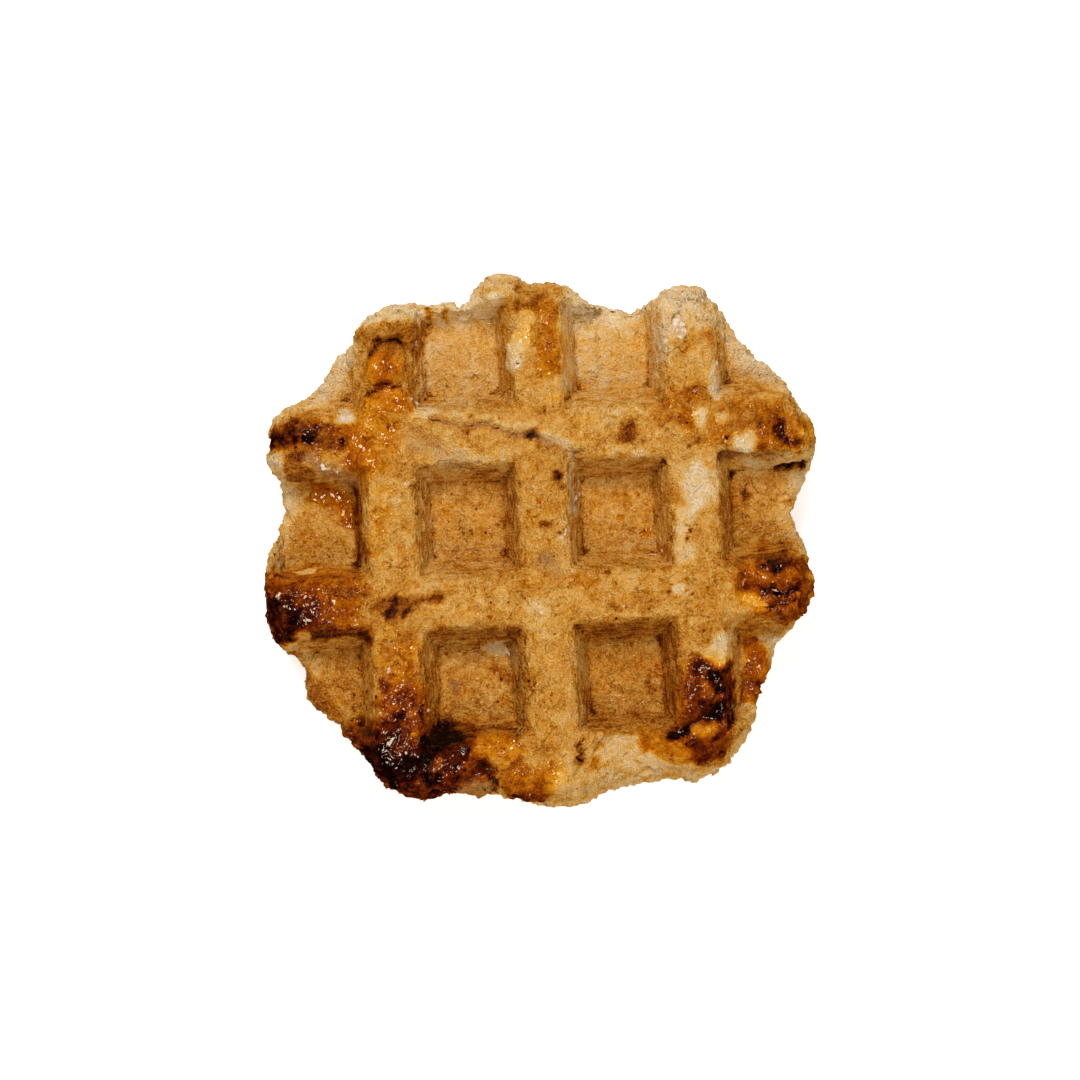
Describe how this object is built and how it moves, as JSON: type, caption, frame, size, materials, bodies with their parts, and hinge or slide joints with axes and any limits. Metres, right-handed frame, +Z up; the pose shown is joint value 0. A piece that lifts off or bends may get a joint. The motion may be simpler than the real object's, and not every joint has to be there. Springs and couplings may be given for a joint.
{
  "type": "belgian waffle",
  "caption": "Thick baked waffle with a lobed, uneven rim, deep square pockets pressed into both faces, and browned and caramelised ridges.",
  "frame": {"origin": "under the middle of the waffle's box, on the plane of the lower ridges, which it rests on", "axes": "+Z up through the thickness; +X and +Y lie along the two directions of the grid, to within 2.6 degrees, with +Y away from a viewer who has +X on the right"},
  "size_m": [0.0996, 0.0964, 0.026],
  "materials": {
    "dough": "baked crust, golden tan, dry and grainy",
    "caramel": "melted sugar, dark brown, glossy",
    "pearl_sugar": "sugar grain, cloudy white, waxy"
  },
  "bodies": {
    "root": {"waffle": "dough"}
  },
  "joints": []
}
